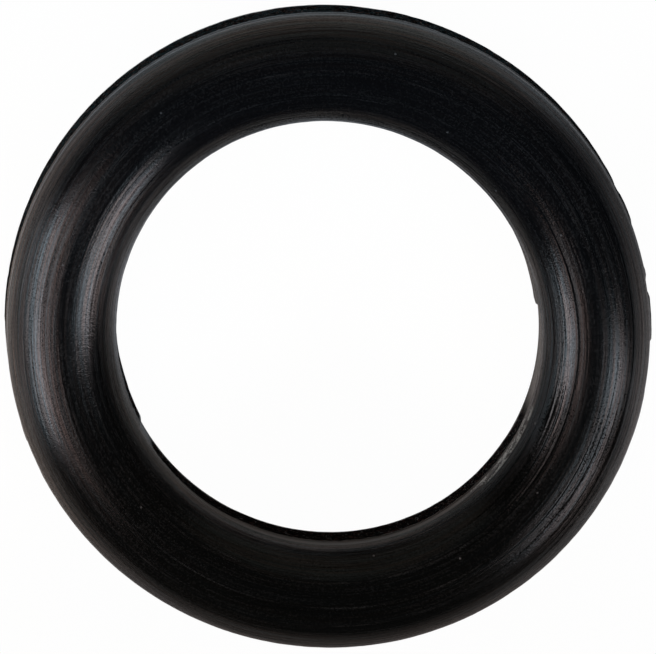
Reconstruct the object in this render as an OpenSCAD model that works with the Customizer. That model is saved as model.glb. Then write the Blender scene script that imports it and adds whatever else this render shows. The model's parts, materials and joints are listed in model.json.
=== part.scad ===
// Rubber o-ring: one moulded ring of round section, lying flat.
// The mould's parting flash has been trimmed off inside and outside, which
// leaves two narrow straight lands, one round the bore and one round the rim.
// The ring's axis is Z, and the origin is the ring's centre at mid height.

/* [Ring] */
// Inside diameter of the ring as moulded, before its lands are trimmed
ring_inner_d = 18; // [6:0.5:60]
// Diameter of the round rubber section as moulded
section_d = 5; // [2:0.1:10]

/* [Trimmed lands] */
// Depth trimmed off the section round the bore
inner_trim = 0.14; // [0.04:0.01:0.3]
// Depth trimmed off the section round the rim
outer_trim = 0.14; // [0.04:0.01:0.3]

/* [Hidden] */
$fn = 180;

// Radius of the rubber section, and of the circle that its centre follows
section_r = section_d / 2;
centre_r = ring_inner_d / 2 + section_r;

// Radii of the two trimmed lands about the ring's axis
inner_land_r = ring_inner_d / 2 + inner_trim;
outer_land_r = centre_r + section_r - outer_trim;

// Height of the strip that the lands are cut from, clear of the section's crown and foot
strip_h = 2 * section_d;

rubber_black = [0.075, 0.075, 0.085];

// The round section as it leaves the mould
module moulded_section() {
    translate([centre_r, 0])
        circle(r = section_r);
}

// All that lies between the two trimming cuts
module between_lands() {
    translate([inner_land_r, -strip_h / 2])
        square([outer_land_r - inner_land_r, strip_h]);
}

// The finished section: round above and below, straight at the bore and at the rim
module trimmed_section() {
    intersection() {
        moulded_section();
        between_lands();
    }
}

module o_ring() {
    color(rubber_black)
        rotate_extrude()
            trimmed_section();
}

o_ring();
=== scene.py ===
import json
import math

import bpy
import numpy as np
from mathutils import Matrix, Vector


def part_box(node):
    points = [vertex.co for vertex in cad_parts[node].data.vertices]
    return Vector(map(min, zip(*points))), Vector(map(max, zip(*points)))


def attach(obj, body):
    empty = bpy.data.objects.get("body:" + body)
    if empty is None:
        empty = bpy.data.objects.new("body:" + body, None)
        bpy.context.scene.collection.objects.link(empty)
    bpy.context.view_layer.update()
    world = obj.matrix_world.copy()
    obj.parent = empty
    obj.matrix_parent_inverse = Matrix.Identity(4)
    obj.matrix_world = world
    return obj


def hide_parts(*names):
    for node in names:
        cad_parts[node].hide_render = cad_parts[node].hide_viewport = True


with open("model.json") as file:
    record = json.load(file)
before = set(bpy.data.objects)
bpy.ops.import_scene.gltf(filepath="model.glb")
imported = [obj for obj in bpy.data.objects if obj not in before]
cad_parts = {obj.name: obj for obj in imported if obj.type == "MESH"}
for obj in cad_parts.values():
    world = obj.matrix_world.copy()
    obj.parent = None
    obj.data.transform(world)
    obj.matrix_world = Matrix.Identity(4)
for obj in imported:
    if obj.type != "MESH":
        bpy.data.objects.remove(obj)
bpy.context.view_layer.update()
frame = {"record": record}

mm = 0.001
white = (1, 1, 1, 1)
print("frame loaded")


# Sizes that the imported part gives: lands, section and the height that the ring lies at
mounts = {m["name"]: m for m in frame["record"]["mounts"]}
lowCorner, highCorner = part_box("o_ring")
innerLand = mounts["bore"]["dims"]["r_mm"] * mm
outerLand = mounts["rim"]["dims"]["r_mm"] * mm
centreRadius = (innerLand + outerLand) / 2
sectionRadius = (highCorner.z - lowCorner.z) / 2
landHalf = math.sqrt(sectionRadius ** 2 - (outerLand - centreRadius) ** 2)  # half the height of a land


class Wire:
    # one output of a shader tree, so that its maths can be written as Python

    def __init__(self, paint, socket):
        self.paint = paint
        self.socket = socket

    def math(self, operation, *others, clamp=False):
        settings = {"operation": operation, "use_clamp": clamp}
        return self.paint.node("ShaderNodeMath", settings, {i: v for i, v in enumerate((self,) + others)})

    def __add__(self, other):
        return self.math("ADD", other)

    def __sub__(self, other):
        return self.math("SUBTRACT", other)

    def __rsub__(self, other):
        return (self * -1) + other

    def __mul__(self, other):
        return self.math("MULTIPLY", other)

    def __truediv__(self, other):
        return self.math("DIVIDE", other)

    def __abs__(self):
        return self.math("ABSOLUTE")


class Paint:
    # a material or world whose nodes are all made by node()

    def __init__(self, owner):
        owner.use_nodes = True
        self.owner = owner
        self.tree = owner.node_tree
        self.tree.nodes.clear()

    def node(self, kind, settings=None, sockets=None, output=0):
        made = self.tree.nodes.new(kind)
        for name, value in (settings or {}).items():
            if name == "stops":
                ramp = made.color_ramp
                while len(ramp.elements) < len(value):
                    ramp.elements.new(0.5)
                for element, (place, colour) in zip(ramp.elements, value):
                    element.position = place
                    element.color = colour
            else:
                setattr(made, name, value)
        for name, value in (sockets or {}).items():
            if isinstance(value, Wire):
                self.tree.links.new(value.socket, made.inputs[name])
            else:
                made.inputs[name].default_value = value
        return Wire(self, made.outputs[output]) if len(made.outputs) else None

    def place(self):
        return self.node("ShaderNodeTexCoord", {}, {}, output="Object")

    def axis(self, vector, name):
        return self.node("ShaderNodeSeparateXYZ", {}, {"Vector": vector}, output=name)

    def seenByCamera(self):
        return self.node("ShaderNodeLightPath", {}, {}, output="Is Camera Ray")

    def ramp(self, stops, factor):
        return self.node("ShaderNodeValToRGB", {"stops": stops}, {"Fac": factor})

    def mixed(self, factor, first, second):
        # Mix node in colour mode: its colour sockets are numbers 6 and 7, its colour output is 2
        return self.node("ShaderNodeMix", {"data_type": "RGBA"}, {0: factor, 6: first, 7: second}, output=2)

    def mixedShader(self, factor, first, second):
        return self.node("ShaderNodeMixShader", {}, {0: factor, 1: first, 2: second})

    def noise(self, vector, scale, detail, roughness):
        return self.node("ShaderNodeTexNoise", {"noise_dimensions": "3D"},
                         {"Vector": vector, "Scale": scale, "Detail": detail, "Roughness": roughness})

    def bump(self, height, distance):
        return self.node("ShaderNodeBump", {}, {"Strength": 1.0, "Distance": distance, "Height": height})

    def band(self, value, low, high):
        # 0 below low, 1 above high, and smooth between
        return self.node("ShaderNodeMapRange", {"interpolation_type": "SMOOTHSTEP"},
                         {"Value": value, "From Min": low, "From Max": high})

    def within(self, cosine, outer, inner):
        # 1 where the angle of this cosine is under inner degrees, and easing to 0 at outer
        return self.band(cosine, math.cos(math.radians(outer)), math.cos(math.radians(inner)))

    def finished(self, surface, kind="ShaderNodeOutputMaterial"):
        self.node(kind, {}, {"Surface": surface})
        return self.owner


def towards(x, y, azimuth):
    # how far the point x, y lies along this azimuth
    return x * math.cos(math.radians(azimuth)) + y * math.sin(math.radians(azimuth))


ringShape = {
    "arcPoints": 68,          # vertices on the whole moulded circle of the section
    "landRows": 10,           # faces across each trimmed land
    "wedges": 30,             # copies of the first swept wedge that make the whole turn
    "wedgeSteps": 40,         # faces along one wedge
    "cutWithin": 1e-8,        # how near in metres a point counts as on a cut,
    "landWithin": 1e-7,       # as on a land,
    "joinWithin": 1e-6,       # and as the same point as its neighbour
    "oval": 0.144 * mm,       # how far the ring stands out along its long axis, and in across it
    "ovalAzimuth": 119.4,
    # what the trimming knife left: first and last azimuth, how far each end fades in degrees,
    # and how far it stands out of the land
    "rimMarks": [
        (351, 357.6, 4, 0.3, -0.035 * mm),
        (357.8, 365.4, 0.4, 0.5, 0.062 * mm),
        (366, 369, 0.4, 0.6, -0.035 * mm),
        (369.6, 370.5, 0.5, 0.5, 0.038 * mm),
        (380, 381.5, 0.6, 5.0, 0.045 * mm),
        (385, 386.8, 1.0, 0.4, -0.03 * mm),
        (387.4, 389, 0.4, 1.5, 0.02 * mm),
        (73, 78, 1.2, 1.5, 0.04 * mm),
        (81, 84, 1.2, 2.0, -0.015 * mm),
        (149, 157, 2.0, 3.0, 0.025 * mm),
        (171, 177.6, 2.0, 0.5, 0.03 * mm),
        (187, 193, 8.0, 6.0, -0.045 * mm),
        (199.8, 203, 0.5, 4.0, -0.022 * mm),
        (232, 240, 3.0, 3.0, 0.028 * mm),
    ],
    "boreMarks": [
        (332, 364, 8.0, 1.5, -0.05 * mm),
        (7, 10, 0.4, 24, 0.105 * mm),
        (105, 115, 3.0, 3.0, 0.016 * mm),
        (138, 143, 1.5, 1.5, 0.036 * mm),
        (197, 206, 21, 0.4, 0.09 * mm),
        (206.8, 236, 0.4, 12, -0.05 * mm),
        (222.8, 224.4, 0.6, 0.6, 0.042 * mm),
        (247, 252, 1.5, 1.5, 0.025 * mm),
        (306, 318, 3.0, 3.0, 0.024 * mm),
    ],
    "leastWeight": 0.001,     # points that a mark would move by less than this share of it stay put
    "flashHalf": 0.5 * mm,    # half the height of the strip that left flash stands in
    "flashFade": 0.3 * mm,
    "landFade": 0.1 * mm,
    "landGrain": 0.5 * mm,    # size of the torn lumps on the lands
    "landRelief": 0.02 * mm,
}


def buildRing():
    bpy.ops.object.select_all(action="DESELECT")
    bpy.ops.mesh.primitive_circle_add(vertices=ringShape["arcPoints"], radius=sectionRadius,
                                      location=(centreRadius, 0, 0), rotation=(math.pi / 2, 0, 0))
    piece = bpy.context.object
    piece.name = piece.data.name = "rubberRing"
    bpy.ops.object.transform_apply(location=True, rotation=True, scale=True)

    # trim the circle at both lands, then close each gap with a straight row of points
    bpy.ops.object.mode_set(mode="EDIT")
    for landRadius, side in ((innerLand, "clear_inner"), (outerLand, "clear_outer")):
        bpy.ops.mesh.select_all(action="SELECT")
        bpy.ops.mesh.bisect(plane_co=(landRadius, 0, 0), plane_no=(1, 0, 0),
                            threshold=ringShape["cutWithin"], **{side: True})
        bpy.ops.mesh.select_all(action="DESELECT")
        bpy.ops.object.mode_set(mode="OBJECT")
        for vertex in piece.data.vertices:
            vertex.select = abs(vertex.co.x - landRadius) < ringShape["landWithin"]
        bpy.ops.object.mode_set(mode="EDIT")
        bpy.ops.mesh.edge_face_add()
        bpy.ops.mesh.subdivide(number_cuts=ringShape["landRows"] - 1)

    # sweep the section through one wedge, then copy the wedge round the axis
    turn = 2 * math.pi / ringShape["wedges"]
    bpy.ops.mesh.select_all(action="SELECT")
    bpy.ops.mesh.spin(steps=ringShape["wedgeSteps"], angle=turn, center=(0, 0, 0), axis=(0, 0, 1))
    bpy.ops.mesh.select_all(action="SELECT")
    bpy.ops.mesh.spin(steps=ringShape["wedges"] - 1, angle=2 * math.pi - turn, dupli=True,
                      center=(0, 0, 0), axis=(0, 0, 1))
    bpy.ops.mesh.select_all(action="SELECT")
    bpy.ops.mesh.remove_doubles(threshold=ringShape["joinWithin"])
    bpy.ops.mesh.normals_make_consistent(inside=False)
    bpy.ops.object.mode_set(mode="OBJECT")
    return piece


def polar(piece):
    # azimuth in degrees, radius from the axis and height of every vertex
    flat = np.empty(len(piece.data.vertices) * 3)
    piece.data.vertices.foreach_get("co", flat)
    x, y, z = flat.reshape(-1, 3).T
    return np.degrees(np.arctan2(y, x)) % 360, np.hypot(x, y), z


def unwrapStrip(piece):
    # one long strip: U runs once round the ring, and V once round the section from the foot
    azimuth, radius, height = polar(piece)
    around = ((np.degrees(np.arctan2(height, radius - centreRadius)) + 90) / 360) % 1
    corners = np.empty(len(piece.data.loops), dtype=np.int64)
    piece.data.loops.foreach_get("vertex_index", corners)
    places = np.stack([azimuth[corners] / 360, around[corners]], axis=1)
    for face in piece.data.polygons:
        part = places[face.loop_start:face.loop_start + face.loop_total]
        for axis in (0, 1):
            if np.ptp(part[:, axis]) > 0.5:    # this face crosses the seam
                part[part[:, axis] < 0.5, axis] += 1
    strip = piece.data.uv_layers.new(name="OFBake")
    strip.data.foreach_set("uv", places.astype(np.float32).ravel())


def pushOut(piece, name, weights, height, texture=None):
    # raises a painted patch along its normals by height, or sinks it where height is negative
    group = piece.vertex_groups.new(name=name)
    for index in np.nonzero(weights > ringShape["leastWeight"])[0]:
        group.add([int(index)], float(weights[index]), "REPLACE")
    modifier = piece.modifiers.new(name, "DISPLACE")
    modifier.vertex_group = name
    modifier.strength = height
    modifier.mid_level = 0
    if texture:
        modifier.texture = texture
        modifier.texture_coords = "LOCAL"
        modifier.mid_level = 0.5
    bpy.ops.object.modifier_apply(modifier=name)
    piece.vertex_groups.remove(piece.vertex_groups[name])


def fade(value, low, high, lowFade, highFade):
    # 1 from low to high, and easing to 0 outside over the two fades
    rise = np.clip((value - low + lowFade) / lowFade, 0, 1)
    fall = np.clip((high + highFade - value) / highFade, 0, 1)
    both = np.minimum(rise, fall)
    return both * both * (3 - 2 * both)


def trimLands(piece):
    # the knife marks and thin flash that the trimming left on both lands
    azimuth, radius, height = polar(piece)
    strip = fade(np.abs(height), 0, ringShape["flashHalf"], mm, ringShape["flashFade"])
    wide = fade(np.abs(height), 0, landHalf, mm, ringShape["landFade"])
    for side, onSide in (("rim", radius > centreRadius), ("bore", radius < centreRadius)):
        for number, (first, last, fadeIn, fadeOut, stand) in enumerate(ringShape[side + "Marks"]):
            near = first - fadeIn + (azimuth - first + fadeIn) % 360    # the turn that this mark is on
            along = fade(near, first, last, fadeIn, fadeOut)
            name = side + "Mark" + str(number)
            pushOut(piece, name, along * onSide * (wide if stand < 0 else strip), stand)
    lumps = bpy.data.textures.new("tornLumps", "CLOUDS")
    lumps.noise_scale = ringShape["landGrain"]
    onLand = np.abs(radius - centreRadius) > sectionRadius / 2
    pushOut(piece, "tornLands", wide * onLand, ringShape["landRelief"], lumps)


def bendOval(piece):
    # the whole section moves out or in, and keeps its own size
    azimuth, radius, height = polar(piece)
    turn = np.radians(azimuth)
    moved = radius + ringShape["oval"] * np.cos(2 * (turn - math.radians(ringShape["ovalAzimuth"])))
    places = np.stack([moved * np.cos(turn), moved * np.sin(turn), height], axis=1)
    piece.data.vertices.foreach_set("co", places.ravel())
    piece.data.update()


ring = buildRing()
unwrapStrip(ring)
trimLands(ring)
bendOval(ring)
print("ring swept:", len(ring.data.vertices), "vertices,", len(ring.data.polygons), "faces")


# Angles round the section, in degrees: 0 is the middle of the rim land, 90 the crown and 180 the
# middle of the bore land
rubberLook = {
    # noises stretched along the ring: patches in one radian, pitch across in mm, shift and detail
    "marks": {
        "stray": (1.2, 6.0, 3.0, 2.0),
        "fine": (2.5, 0.050, 7.0, 2.0),
        "medium": (2.0, 0.16, 19.0, 2.0),
        "broad": (1.2, 0.90, 31.0, 1.0),
        "scuffs": (6.0, 0.20, 71.0, 2.0),
        "chips": (13.0, 0.26, 13.0, 2.0),
        "tints": (2.5, 0.080, 57.0, 2.0),
        "lines": (2.2, 0.052, 43.0, 2.0),
        "scores": (0.9, 0.085, 91.0, 1.0),
    },
    # noises even all ways: pitch in mm, detail and roughness
    "dots": {
        "specks": (0.066, 1.0, 0.5),
        "dust": (0.085, 1.0, 0.5),
        "grain": (0.085, 3.0, 0.6),
        "blotch": (0.30, 2.0, 0.5),
        "mottle": (0.16, 1.0, 0.5),
    },
    # heights in mm of the turning marks, the specks and the lands' torn grain
    "heights": {"fine": 0.0055, "medium": 0.0036, "broad": 0.012, "specks": 0.0065, "grain": 0.010},
    # where each effect begins and where it is full. Noises come first, then angles round the
    # section, then how far right or back a place lies, where the ring's own radius is 1
    "ranges": {
        "scuffs": (0.42, 0.66),
        "scuffDots": (0.44, 0.54),
        "chips": (0.52, 0.56),
        "dust": (0.52, 0.58),
        "tints": (0.40, 0.60),
        "lines": (0.48, 0.56),
        "scores": (0.53, 0.58),
        "pits": (0.48, 0.62),
        "smear": (0.25, 0.55),
        "teal": (0.42, 0.60),
        "rust": (0.56, 0.66),
        "landSpecks": (0.60, 0.68),
        "boreLip": (132, 142),
        "boreHalf": (80, 100),
        "turn": (-0.9, 0.9),
        "lipBehind": (0.3, 0.8),
        "grooves": (0.55, 0.9),
        "bands": (-0.3, -0.8),
        "chipsRight": (0.55, 0.75),
        "chipsFront": (-0.30, -0.42),
        "shallow": (0.90, 0.97),
    },

    # gloss: its index, how strongly it spreads across the turning marks and not along them, the
    # turn that sets it so, and its tints from streak to streak
    "index": 1.7,
    "spread": 0.9,
    "spreadTurn": 0.25,
    "cool": (0.84, 0.95, 1.0, 1),
    "warm": (1.0, 0.87, 0.83, 1),
    # roughness by the angle round the section, how many degrees that strays along the ring, what
    # the turning marks and the left and right of the bore's lip add, and the least that it can be
    "zones": [(0, 0.27), (44, 0.26), (52, 0.22), (60, 0.22), (84, 0.23), (88, 0.14), (103, 0.14),
              (106, 0.20), (116, 0.17), (119, 0.17), (127, 0.18), (134, 0.20), (142, 0.16), (180, 0.16)],
    "wander": 1.6,
    "fineRough": 0.22,
    "mediumRough": 0.14,
    "lipSides": 0.10,
    "leastRough": 0.06,

    # worn film that dulls the gloss: its share by the angle round the section, then what it gains
    # from the left to the middle and again to the right, on the bore's lip behind, and in its
    # lines, its longer scores and its pits
    "film": [(0, 0.0), (48, 0.0), (54, 0.25), (61, 0.22), (65, 0.02), (67.5, 0.02), (70, 0.18), (73, 0.14),
             (82, 0.20), (86, 0.10), (98, 0.0), (102, 0.22), (104, 0.10), (106, 0.15), (109, 0.18),
             (113, 0.10), (118, 0.0), (122, 0.15), (128, 0.25), (134, 0.0), (180, 0.0)],
    "side": 0.05,
    "lipBehind": 0.45,
    "lines": 0.28,
    "scores": 0.16,
    "pits": 0.28,
    # stripes that run along the ring: angle round the section, half width in degrees and strength,
    # which is full over the core's share of the width. Grooves are on the right alone, bands on the left
    "core": 0.3,
    "grooves": [(137.7, 0.9, 0.6), (109.6, 1.3, 0.6), (52.3, 1.0, 0.5), (79.0, 0.8, 0.4), (148.0, 0.8, 0.4),
                (58, 26, 0.04), (118, 16, 0.09)],
    "bands": [(119.5, 4.0, 0.26), (127.0, 1.0, 0.25)],
    # a dull smear across the front right: azimuth, outer and inner half width there, and share
    "smear": (329, 22, 22 / 3, 0.44),
    "smearStripes": [(58, 34, 0.8), (120, 22, 1.0)],

    # the rubber's black and the colour of all wear, in front and behind, as painted light: the black is
    # painted darker and warmer in front and lighter and cooler behind, and the wear warmer in front and
    # cooler behind
    "blackShadedFront": (0.0012, 0.0012, 0.0010, 1),
    "blackLitBehind": (0.0016, 0.0019, 0.0025, 1),
    "wearWarmLitFront": (1.0, 0.91, 0.87, 1),
    "wearCoolLitBehind": (0.78, 0.90, 1.0, 1),
    # scuffed lips as stripes of light that they scatter, and painted highlights along the shoulders beside
    # the lands
    "lips": [(66, 1.3, 0.008), (86, 1.2, 0.008), (111, 1.6, 0.007), (114.5, 1.2, 0.006)],
    "shoulderHighlights": [(22.4, 1.7, 0.085), (156.5, 3.5, 0.045)],
    # dust, partly painted light: its light, how far it follows the turning marks, how much more of it is
    # painted at the lit left and right sides, and the share of it that is behind alone, painted lighter
    # there
    "dustLight": 0.0034,
    "dustMarked": 0.45,
    "dustLitSides": 1.5,
    "dustLitBehind": 0.35,
    # stray bright specks: spacing, outer and inner radius in mm, and light
    "lint": (1.3, 0.060, 0.036, 0.045),
    # chips in the bore's lip: angle, outer and inner half width in degrees, then their share of
    # specks, light and colour
    "chipLip": (154.5, 6, 3),
    "chipSpecks": 0.4,
    "chipLight": 0.15,
    "chipColour": (1, 1, 0.94, 1),

    # trimmed lands: how far the blotches and the grain shift their border in degrees, and where
    # past the cut's edge they begin and are full
    "borderBlotch": 7,
    "borderGrain": 4,
    "pastEdge": (1.2, 3.2),
    "step": (209, 5, 2),      # hardly trimmed beside the step: azimuth, outer and inner half width
    "landRough": 0.7,
    "landIndex": 1.5,
    "landDark": (0.0020, 0.0022, 0.0022, 1),
    # the teal is painted light: it makes the lands lighter and cooler behind
    "landTealLitBehind": (0.009, 0.017, 0.020, 1),
    "landRust": (0.026, 0.014, 0.012, 1),
    "landSpeck": (0.13, 0.13, 0.13, 1),
}


def rubberFinish():
    look = rubberLook
    paint = Paint(bpy.data.materials.new("blackRubber"))
    place = paint.place()
    flat = paint.node("ShaderNodeVectorMath", {"operation": "MULTIPLY"}, {0: place, 1: (1, 1, 0)})
    heading = paint.node("ShaderNodeVectorMath", {"operation": "NORMALIZE"}, {0: flat})
    rightward = paint.axis(heading, "X")
    backward = paint.axis(heading, "Y")
    around = paint.axis(paint.node("ShaderNodeUVMap", {"uv_map": "OFBake"}), "Y")
    along = around * (2 * math.pi * sectionRadius / mm)    # the way round the section in mm

    def marks(name):
        perRadian, pitch, shift, detail = look["marks"][name]
        lifted = paint.node("ShaderNodeCombineXYZ", {}, {"Z": along / pitch + shift})
        spot = paint.node("ShaderNodeVectorMath", {"operation": "MULTIPLY_ADD"},
                          {0: heading, 1: (perRadian, perRadian, 0), 2: lifted})
        return paint.noise(spot, 1.0, detail, 0.5)

    def dots(name):
        pitch, detail, roughness = look["dots"][name]
        return paint.noise(place, 1 / (pitch * mm), detail, roughness)

    def full(value, name):
        # 0 where this effect has not begun, and 1 where it is full
        return paint.band(value, *look["ranges"][name])

    def facing(azimuth, outer, inner):
        return paint.within(towards(rightward, backward, azimuth), outer, inner)

    # angle from the rim land, the same above and below, straying a little along the ring
    stray = (marks("stray") - 0.5) * (2 * look["wander"])
    across = (around - 0.25).math("PINGPONG", 0.5) * 360 + stray

    def byAngle(name):
        stops = [(angle / 180, (value, value, value, 1)) for angle, value in look[name]]
        return paint.ramp(stops, across / 180)

    def stripes(name):
        first, *others = [
            paint.band(abs(across - angle), halfWidth, halfWidth * look["core"]) * strength
            for angle, halfWidth, strength in look[name]
        ]
        return sum(others, first)

    # gloss, spread by the turning marks
    fine = marks("fine")
    medium = marks("medium")
    specks = dots("specks")
    boreLip = full(across, "boreLip")
    rough = byAngle("zones") + boreLip * rightward * rightward * look["lipSides"]
    rough = rough + (fine - 0.5) * look["fineRough"] + (medium - 0.5) * look["mediumRough"]
    heights = look["heights"]
    relief = fine * heights["fine"] + medium * heights["medium"] + marks("broad") * heights["broad"]
    turned = paint.bump((relief + specks * heights["specks"]) * mm, 1.0)

    # the rubber's black, lighter where it is scuffed, worn, dusty or chipped, and with painted light:
    # lighter and cooler behind, warmer in front, painted highlights on the shoulders, and dust painted
    # lighter at the sides and behind
    # 0 in front and 1 behind; it sets the painted light, warmer in front and lighter and cooler behind
    turn = full(backward, "turn")
    blackWithPaintedLight = paint.mixed(turn, look["blackShadedFront"], look["blackLitBehind"])
    wearColourInPaintedLight = paint.mixed(turn, look["wearWarmLitFront"], look["wearCoolLitBehind"])
    scuff = full(marks("scuffs"), "scuffs") * full(specks, "scuffDots")
    dusty = dots("dust") * (1 - look["dustMarked"]) + fine * look["dustMarked"]
    # dust, painted lighter at the lit left and right sides and behind
    dust = full(dusty, "dust") * (rightward * rightward * look["dustLitSides"] + 1)
    dust = dust * (turn * look["dustLitBehind"] + (1 - look["dustLitBehind"])) * look["dustLight"]
    spacing, radius, core, light = look["lint"]
    cells = paint.node("ShaderNodeTexVoronoi", {}, {"Vector": place, "Scale": 1 / (spacing * mm)})
    lint = paint.band(cells, radius / spacing, core / spacing) * light
    # scuffed lips, painted highlights on the shoulders, dust with its painted light, and lint
    wearAndPaintedHighlights = stripes("lips") * scuff + stripes("shoulderHighlights") + dust + lint
    angle, outer, inner = look["chipLip"]
    chipped = marks("chips") * (1 - look["chipSpecks"]) + specks * look["chipSpecks"]
    chips = full(chipped, "chips") * paint.band(abs(across - angle), outer, inner)
    chips = chips * (full(rightward, "chipsRight") * full(backward, "chipsFront")) * look["chipLight"]
    blackWithPaintedLight = paint.mixed(chips, paint.mixed(wearAndPaintedHighlights, blackWithPaintedLight, wearColourInPaintedLight), look["chipColour"])

    def gloss(tint):
        return paint.node("ShaderNodeBsdfPrincipled", {}, {
            "Base Color": blackWithPaintedLight,
            "Roughness": rough.math("MAXIMUM", look["leastRough"]),
            "IOR": look["index"],
            "Specular Tint": look[tint],
            "Anisotropic": look["spread"],
            "Anisotropic Rotation": look["spreadTurn"],
            "Normal": turned,
        })

    tinted = paint.mixedShader(full(marks("tints"), "tints"), gloss("cool"), gloss("warm"))

    # worn film over the gloss
    azimuth, outer, inner, share = look["smear"]
    smeared = facing(azimuth, outer, inner) * share * stripes("smearStripes") * full(medium, "smear")
    oneSided = smeared + stripes("grooves") * full(rightward, "grooves")
    oneSided = oneSided + stripes("bands") * full(rightward, "bands")
    film = byAngle("film") + oneSided + boreLip * full(backward, "lipBehind") * look["lipBehind"]
    film = film + full(marks("lines"), "lines") * look["lines"]
    film = film + full(marks("scores"), "scores") * look["scores"]
    film = film + full(specks, "pits") * look["pits"] + rightward * look["side"]
    film = film.math("ADD", look["side"], clamp=True)

    # trimmed lands: torn, dull and mottled, with an uneven border, and hardly trimmed on the
    # bore's right and beside the step at its front left
    grain = dots("grain")
    blotch = dots("blotch")
    border = (blotch - 0.5) * look["borderBlotch"] + (grain - 0.5) * look["borderGrain"]
    edge = 90 - math.degrees(math.asin(landHalf / sectionRadius))
    begins, isFull = look["pastEdge"]
    shallow = full(rightward, "shallow").math("MAXIMUM", facing(*look["step"])) * full(across, "boreHalf")
    land = paint.band(abs(across - 90) + border, edge + begins, edge + isFull) * (1 - shallow)
    # the lands' tone: teal painted on them behind as painted light, then rust mottle and light specks
    landToneWithPaintedLight = paint.mixed(full(blotch, "teal") * turn, look["landDark"], look["landTealLitBehind"])
    landToneWithPaintedLight = paint.mixed(full(dots("mottle"), "rust"), landToneWithPaintedLight, look["landRust"])
    landToneWithPaintedLight = paint.mixed(full(grain, "landSpecks"), landToneWithPaintedLight, look["landSpeck"])
    dull = paint.node("ShaderNodeBsdfPrincipled", {}, {
        "Base Color": paint.mixed(land, blackWithPaintedLight, landToneWithPaintedLight),
        "Roughness": look["landRough"],
        "IOR": look["landIndex"],
        "Specular IOR Level": 0.0,
        "Normal": paint.bump(grain, heights["grain"] * mm),
    })
    return paint.finished(paint.mixedShader(land.math("MAXIMUM", film), tinted, dull))


ring.data.materials.append(rubberFinish())
bpy.ops.object.shade_smooth()
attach(ring, "root")
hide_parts("o_ring")
print("ring finished")


floorLook = {
    "size": 2.0,
    # painted light and shade on the pale sheet, from front to back and from left to right, by their place
    # in mm
    "reach": 30,
    "paintedLightFrontToBack": [
        (-30, (0.235, 0.21, 0.19, 1)), (-18, (0.235, 0.21, 0.19, 1)), (-15.5, (0.42, 0.37, 0.35, 1)),
        (-13, (0.235, 0.21, 0.19, 1)), (-4.5, (0.235, 0.21, 0.19, 1)), (-1, (0.50, 0.47, 0.42, 1)),
        (1.5, (0.77, 0.73, 0.67, 1)), (5.5, (0.70, 0.75, 0.79, 1)), (13, (0.68, 0.76, 0.82, 1)),
        (18.5, (0.70, 0.80, 0.86, 1)), (21.5, (0.88, 0.80, 0.70, 1)), (30, (0.82, 0.73, 0.62, 1)),
    ],
    "paintedLightLeftToRight": [
        (-30, (0.66, 0.54, 0.46, 1)), (-24, (0.72, 0.59, 0.50, 1)), (-20.5, (0.95, 0.78, 0.67, 1)),
        (-18, (1.0, 0.85, 0.74, 1)), (-13, (1.0, 0.84, 0.72, 1)), (-8.5, (0.76, 0.85, 0.93, 1)),
        (-3, (0.80, 0.83, 0.86, 1)), (3, (0.82, 0.78, 0.75, 1)), (8.5, (0.86, 0.77, 0.71, 1)),
        (13, (0.78, 0.76, 0.75, 1)), (30, (0.78, 0.76, 0.75, 1)),
    ],
    "sidePower": 2.0,         # how narrow the sectors at the left and the right are
    "softCentre": 1 * mm,     # keeps the divisors above zero at the very middle
    # painted shade beyond the ring at one azimuth: that azimuth, outer and inner half width, and share
    "paintedShadeDip": (22, 28, 14, 0.45),
    "paintedShadeColour": (0, 0, 0, 1),
    "roughness": 0.38,
    "index": 1.5,
    "glow": 0.98,             # how much of the floor that the camera sees is its own white
}


def buildFloor():
    look = floorLook
    bpy.ops.object.select_all(action="DESELECT")
    bpy.ops.mesh.primitive_plane_add(size=look["size"], location=(0, 0, lowCorner.z))
    floor = bpy.context.object
    floor.name = floor.data.name = "floor"
    paint = Paint(bpy.data.materials.new("whiteFloor"))
    place = paint.place()
    x = paint.axis(place, "X")
    y = paint.axis(place, "Y")

    def shades(name, distance):
        stops = [(0.5 + at / look["reach"] / 2, colour) for at, colour in look[name]]
        return paint.ramp(stops, distance / (2 * look["reach"] * mm) + 0.5)

    # painted light and shade: one set in front and behind, the other at the left and the right
    sideways = ((x * x) / (x * x + y * y + look["softCentre"] ** 2)).math("POWER", look["sidePower"])
    paintedLightAndShade = paint.mixed(sideways, shades("paintedLightFrontToBack", y), shades("paintedLightLeftToRight", x))
    # painted shade darkens the sheet beyond the ring at one azimuth
    azimuth, outer, inner, share = look["paintedShadeDip"]
    away = (x * x + y * y).math("SQRT")
    paintedShadeDip = paint.within(towards(x, y, azimuth) / (away + look["softCentre"]), outer, inner) * share
    paintedLightAndShade = paint.mixed(paintedShadeDip * paint.band(away, innerLand, outerLand), paintedLightAndShade, look["paintedShadeColour"])
    sheet = paint.node("ShaderNodeBsdfPrincipled", {}, {
        "Base Color": paintedLightAndShade,
        "Roughness": look["roughness"],
        "IOR": look["index"],
    })
    plain = paint.node("ShaderNodeEmission", {}, {"Color": white, "Strength": 1.0})
    ownWhite = paint.seenByCamera() * look["glow"]
    floor.data.materials.append(paint.finished(paint.mixedShader(ownWhite, sheet, plain)))


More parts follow.
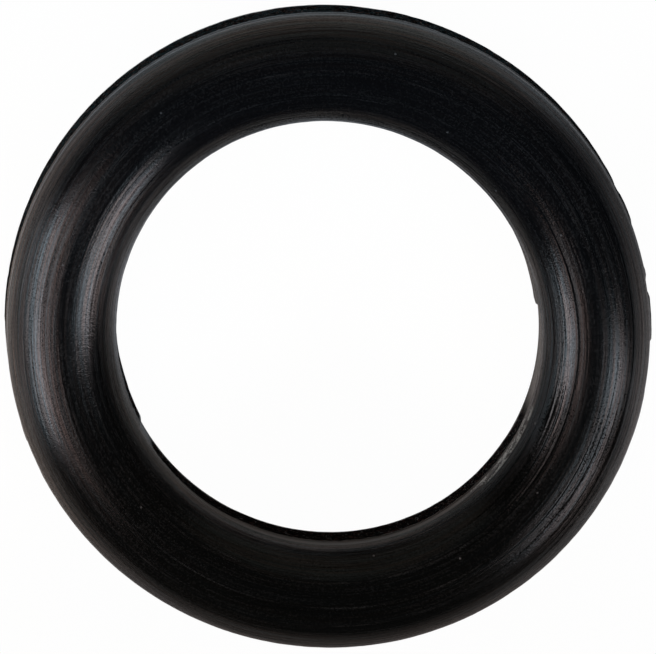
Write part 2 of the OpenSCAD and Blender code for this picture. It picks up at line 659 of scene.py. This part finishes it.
lightSetup = {
    "room": (0.02, 0.02, 0.022, 1),    # the world's own light on the ring
    # soft boxes that face the ring: azimuth and angle from straight up in degrees, distance and
    # size in metres, radiance, colour, and whether gloss reflects them
    "lamps": {
        "leftKey": (190.5, 52, 0.2, (0.136, 0.034), 6.7, (1.0, 0.95, 1.0), True),
        "leftLow": (191.5, 63, 0.2, (0.144, 0.048), 4.2, (0.80, 0.92, 1.0), True),
        "leftHigh": (198, 32, 0.2, (0.132, 0.046), 2.6, (1.0, 0.80, 0.76), True),
        "rightKey": (-35, 56, 0.5, (0.245, 0.12), 4.8, (0.98, 0.94, 1.0), True),
        "rightLow": (-35, 69, 0.5, (0.27, 0.09), 1.6, (1.0, 0.86, 0.80), True),
        "rightHigh": (-35, 43, 0.5, (0.21, 0.085), 6.6, (0.90, 0.94, 1.0), True),
        "rightTop": (-35, 32, 0.5, (0.20, 0.05), 0.8, (0.78, 0.90, 1.0), True),
        "backGlow": (90, 60, 0.6, (1.2, 0.5), 0.13, (1.0, 0.93, 0.78), True),
        "overhead": (0, 0, 0.9, (0.9, 0.9), 2.2, (1, 1, 1), False),
    },
}


def wayTo(azimuth, fromUp):
    # unit vector from the ring at this azimuth and angle from straight up
    a, p = math.radians(azimuth), math.radians(fromUp)
    return Vector((math.sin(p) * math.cos(a), math.sin(p) * math.sin(a), math.cos(p)))


def addLamp(name, azimuth, fromUp, distance, size, radiance, colour, glossy):
    way = wayTo(azimuth, fromUp)
    data = bpy.data.lights.new(name, "AREA")
    data.shape = "RECTANGLE"
    data.size, data.size_y = size
    data.energy = radiance * math.pi * size[0] * size[1]
    data.color = colour
    lamp = bpy.data.objects.new(name, data)
    bpy.context.scene.collection.objects.link(lamp)
    lamp.location = way * distance
    lamp.rotation_mode = "QUATERNION"
    lamp.rotation_quaternion = way.to_track_quat("Z", "Y")
    lamp.visible_camera = False
    lamp.visible_glossy = glossy


def buildLight():
    world = bpy.data.worlds.new("studio")
    bpy.context.scene.world = world
    paint = Paint(world)
    colour = paint.mixed(paint.seenByCamera(), lightSetup["room"], white)
    back = paint.node("ShaderNodeBackground", {}, {"Color": colour, "Strength": 1.0})
    paint.finished(back, "ShaderNodeOutputWorld")
    for name, values in lightSetup["lamps"].items():
        addLamp(name, *values)


cameraSetup = {
    "azimuth": 102,             # the side that the camera leans over from straight above, in degrees
    "lean": 13.5,
    "distance": 0.45,
    "frameWidth": 28.06 * mm,   # width that the picture covers at the ring
    "sensorWidth": 36,
    "aim": (0.009 * mm, 0.039 * mm, 0),
}


def buildCamera():
    back = wayTo(cameraSetup["azimuth"], cameraSetup["lean"])
    side = Vector((0, 1, 0)).cross(back).normalized()
    up = back.cross(side)
    data = bpy.data.cameras.new("camera")
    data.sensor_width = cameraSetup["sensorWidth"]
    data.lens = data.sensor_width * cameraSetup["distance"] / cameraSetup["frameWidth"]
    camera = bpy.data.objects.new("camera", data)
    bpy.context.scene.collection.objects.link(camera)
    spot = Vector(cameraSetup["aim"]) + back * cameraSetup["distance"]
    turn = Matrix((side, up, back)).transposed().to_4x4()
    camera.matrix_world = Matrix.Translation(spot) @ turn
    bpy.context.scene.camera = camera


buildFloor()
buildLight()
buildCamera()
bpy.context.scene.view_settings.view_transform = "Standard"
print("stage, light and camera placed")
